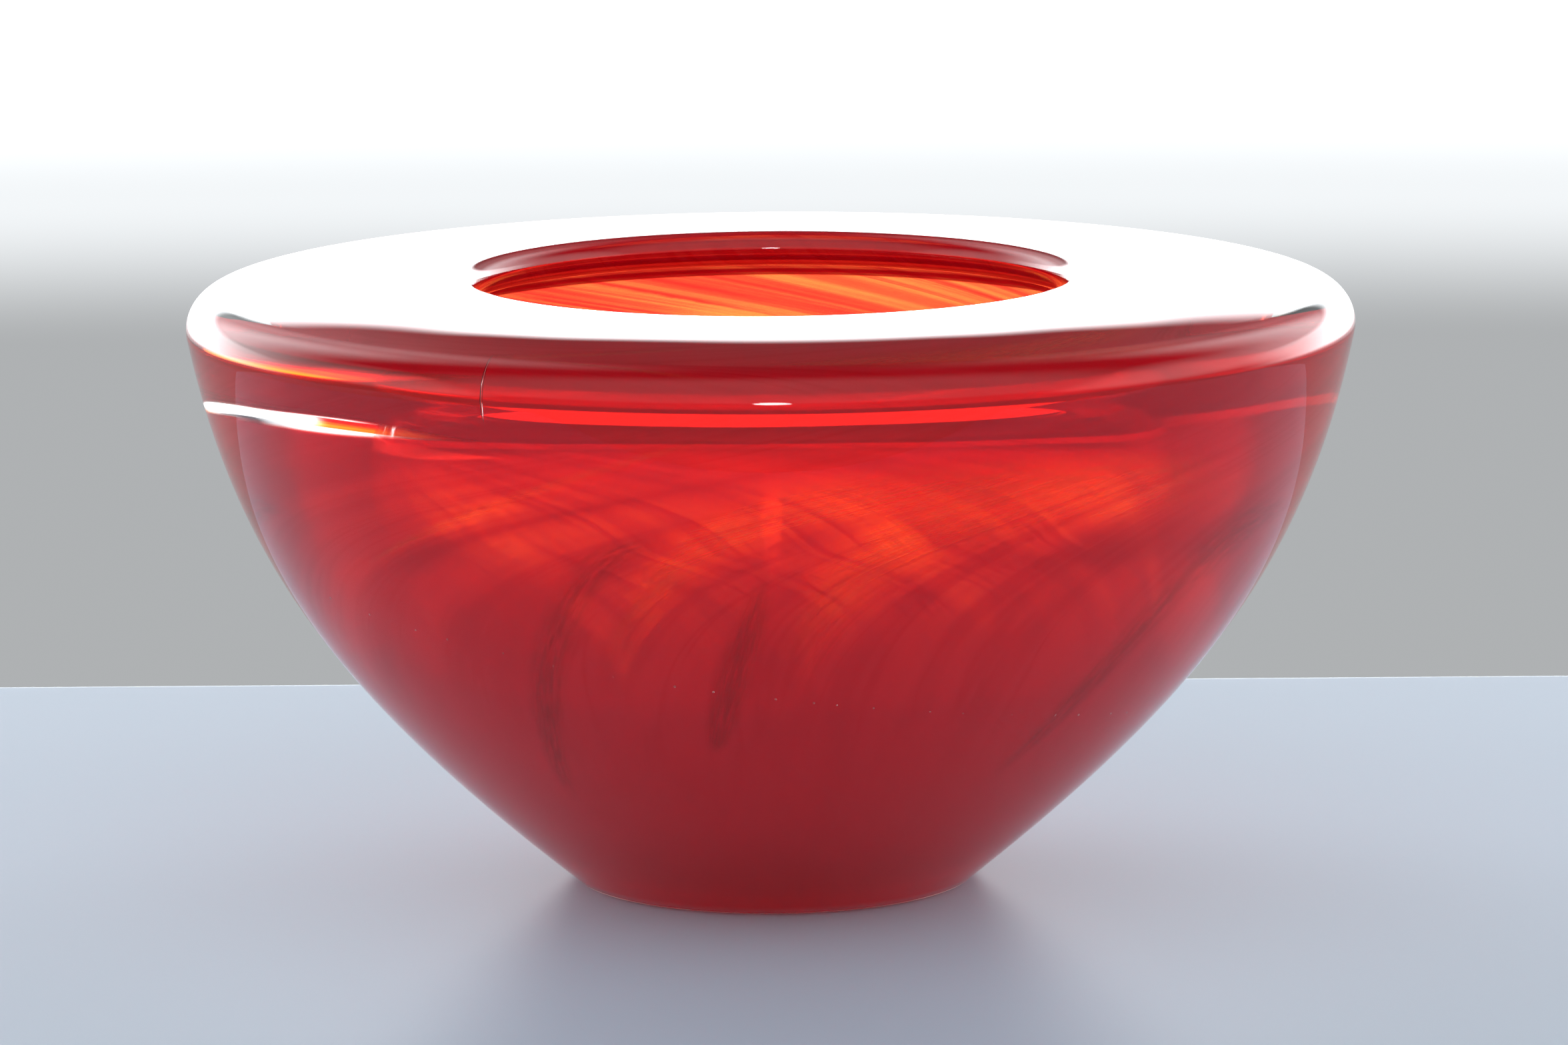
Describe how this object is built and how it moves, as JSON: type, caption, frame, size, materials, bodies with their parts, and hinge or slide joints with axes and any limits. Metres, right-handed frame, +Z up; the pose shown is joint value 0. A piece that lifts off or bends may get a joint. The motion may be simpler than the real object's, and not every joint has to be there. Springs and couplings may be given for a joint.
{
  "type": "art glass bowl",
  "caption": "Thick-walled hand-blown glass bowl on a small flat foot: clear flat rim around a narrow mouth, bubble-shaped well, and red glass with swirled amber and dark streaks.",
  "frame": {"origin": "centre of the foot, on the surface the bowl stands on", "axes": "+Z up along the bowl's axis; +X to the viewer's right and -Y towards the viewer of its front"},
  "size_m": [0.105, 0.105, 0.055],
  "materials": {
    "clear_glass": "polished",
    "red_glass": "polished",
    "amber_glass": "polished",
    "dark_glass": "polished"
  },
  "bodies": {
    "root": {"clear_casing": "clear_glass", "red_layer": "red_glass", "inner_gather": "clear_glass", "amber_streak_1": "amber_glass", "dark_streak_1": "dark_glass", "amber_streak_2": "amber_glass", "dark_streak_2": "dark_glass", "amber_streak_3": "amber_glass", "dark_streak_3": "dark_glass", "amber_streak_4": "amber_glass", "dark_streak_4": "dark_glass", "amber_streak_5": "amber_glass", "dark_streak_5": "dark_glass", "amber_streak_6": "amber_glass", "dark_streak_6": "dark_glass"}
  },
  "joints": []
}
